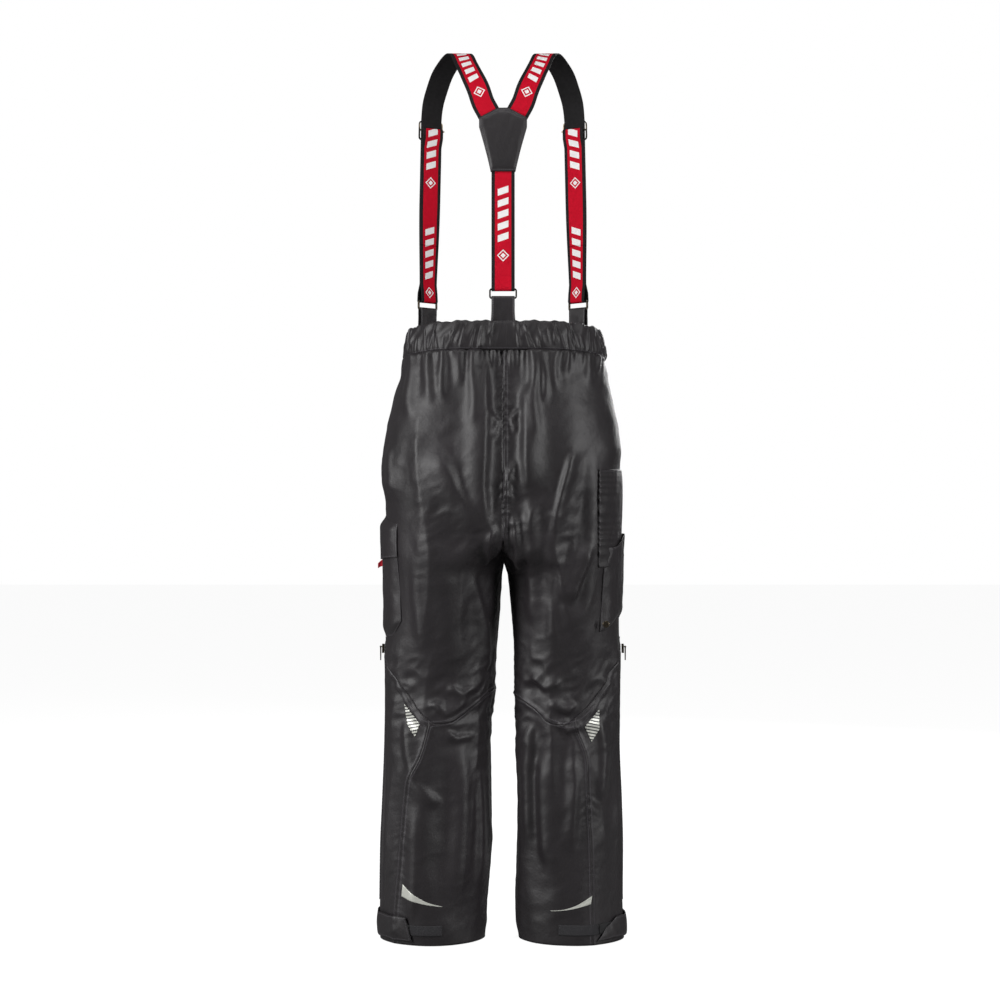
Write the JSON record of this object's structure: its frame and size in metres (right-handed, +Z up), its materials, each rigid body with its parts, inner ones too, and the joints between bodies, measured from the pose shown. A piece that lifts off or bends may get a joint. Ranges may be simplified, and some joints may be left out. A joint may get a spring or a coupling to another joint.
{
  "type": "shell over-trousers with braces",
  "caption": "Light waterproof shell work trousers with a gathered elastic waist, elastic Y-back braces on wire rings, side pockets, leg zips and hem tabs, in their worn shape.",
  "frame": {"origin": "centre of the waist opening, level with the waistband's top edge at the sides", "axes": "+X to the wearer's right, +Y to the wearer's front, +Z up"},
  "size_m": [0.4566, 0.2962, 1.5681],
  "materials": {
    "coated_nylon": "dark grey coated ripstop nylon, slight sheen",
    "webbing": "red and black woven elastic webbing",
    "label": "plain red woven label",
    "gunmetal": "dark bronze plated wire",
    "reflective": "silver reflective film in stripes",
    "hook_and_loop": "black hook and loop tape",
    "zip": "black coil zip and seam tape",
    "elastic": "white knitted elastic"
  },
  "bodies": {
    "trousers": {"waistband_casing": "coated_nylon", "waist_elastic": "elastic", "centre_seam_tape": "zip", "back_tab": "coated_nylon", "front_tab_left": "coated_nylon", "front_tab_right": "coated_nylon", "back_strap": "webbing", "yoke_outer": "coated_nylon", "yoke_inner": "coated_nylon", "bellows_pocket": "coated_nylon", "pocket_label": "label", "rule_pocket": "coated_nylon", "rule_pocket_backing": "coated_nylon", "tool_button": "gunmetal", "back_panel_left": "coated_nylon", "lower_back_panel_left": "coated_nylon", "lower_side_panel_left": "coated_nylon", "front_panel_left": "coated_nylon", "zip_tape_left": "zip", "zip_chain_left": "zip", "storm_flap_left": "coated_nylon", "loop_strip_left": "hook_and_loop", "knee_reflector_left": "reflective", "hem_reflector_left": "reflective", "back_panel_right": "coated_nylon", "lower_back_panel_right": "coated_nylon", "lower_side_panel_right": "coated_nylon", "front_panel_right": "coated_nylon", "zip_tape_right": "zip", "zip_chain_right": "zip", "storm_flap_right": "coated_nylon", "loop_strip_right": "hook_and_loop", "knee_reflector_right": "reflective", "hem_reflector_right": "reflective"},
    "back_ring": {"back_ring": "gunmetal"},
    "front_ring_left": {"front_ring_left": "gunmetal"},
    "strap_left": {"shoulder_strap_left": "webbing"},
    "adjuster_left": {"adjuster_left": "gunmetal"},
    "hem_tab_left": {"hem_tab_left": "coated_nylon", "hook_patch_left": "hook_and_loop"},
    "zip_slider_left": {"zip_slider_left": "gunmetal"},
    "zip_puller_left": {"zip_puller_left": "gunmetal"},
    "front_ring_right": {"front_ring_right": "gunmetal"},
    "strap_right": {"shoulder_strap_right": "webbing"},
    "adjuster_right": {"adjuster_right": "gunmetal"},
    "hem_tab_right": {"hem_tab_right": "coated_nylon", "hook_patch_right": "hook_and_loop"},
    "zip_slider_right": {"zip_slider_right": "gunmetal"},
    "zip_puller_right": {"zip_puller_right": "gunmetal"},
    "pocket_flap": {"pocket_flap": "coated_nylon"}
  },
  "joints": [
    {"name": "back_ring_swing", "type": "hinge", "parent": "trousers", "child": "back_ring", "pos_m": [0, -0.125, 0.0498], "axis": [1, 0, 0], "range_deg": [-4, 4]},
    {"name": "front_ring_left_swing", "type": "hinge", "parent": "trousers", "child": "front_ring_left", "pos_m": [-0.13742, 0.08839, 0.0498], "axis": [0.687, 0.7267, 0], "range_deg": [-8, 8]},
    {"name": "front_ring_right_swing", "type": "hinge", "parent": "trousers", "child": "front_ring_right", "pos_m": [0.13742, 0.08839, 0.0498], "axis": [0.687, -0.7267, 0], "range_deg": [-8, 8]},
    {"name": "strap_left_drop", "type": "hinge", "parent": "trousers", "child": "strap_left", "pos_m": [-0.13742, 0.08839, 0.0654], "axis": [0.2932, -0.5328, 0.7939], "range_deg": [0, 120], "deforming": ["shoulder_strap_left"]},
    {"name": "adjuster_left_slide", "type": "slide", "parent": "strap_left", "child": "adjuster_left", "axis": [0.0226, -0.0065, 0.9997], "range_m": [-0.12, 0], "deforming": ["shoulder_strap_left"]},
    {"name": "strap_right_drop", "type": "hinge", "parent": "trousers", "child": "strap_right", "pos_m": [0.13742, 0.08839, 0.0654], "axis": [0.2932, 0.5328, -0.7939], "range_deg": [0, 120], "deforming": ["shoulder_strap_right"]},
    {"name": "adjuster_right_slide", "type": "slide", "parent": "strap_right", "child": "adjuster_right", "axis": [-0.0226, -0.0065, 0.9997], "range_m": [-0.12, 0], "deforming": ["shoulder_strap_right"]},
    {"name": "pocket_flap_lift", "type": "hinge", "parent": "trousers", "child": "pocket_flap", "pos_m": [-0.2121, -0.004, -0.327], "axis": [0, 1, 0], "range_deg": [0, 120], "deforming": ["pocket_flap"]},
    {"name": "hem_tab_left_open", "type": "hinge", "parent": "trousers", "child": "hem_tab_left", "pos_m": [-0.20312, 0.04938, -1.046], "axis": [0, 0, -1], "range_deg": [0, 100]},
    {"name": "zip_left_slide", "type": "slide", "parent": "trousers", "child": "zip_slider_left", "axis": [-0.0153, 0, -0.9999], "range_m": [0, 0.4]},
    {"name": "zip_puller_left_swing", "type": "hinge", "parent": "zip_slider_left", "child": "zip_puller_left", "pos_m": [-0.21761, 0, -0.55793], "axis": [0, 1, 0], "range_deg": [-5, 150]},
    {"name": "hem_tab_right_open", "type": "hinge", "parent": "trousers", "child": "hem_tab_right", "pos_m": [0.20312, 0.04938, -1.046], "axis": [0, 0, 1], "range_deg": [0, 100]},
    {"name": "zip_right_slide", "type": "slide", "parent": "trousers", "child": "zip_slider_right", "axis": [0.0153, 0, -0.9999], "range_m": [0, 0.4]},
    {"name": "zip_puller_right_swing", "type": "hinge", "parent": "zip_slider_right", "child": "zip_puller_right", "pos_m": [0.21761, 0, -0.55793], "axis": [0, -1, 0], "range_deg": [-5, 150]}
  ]
}
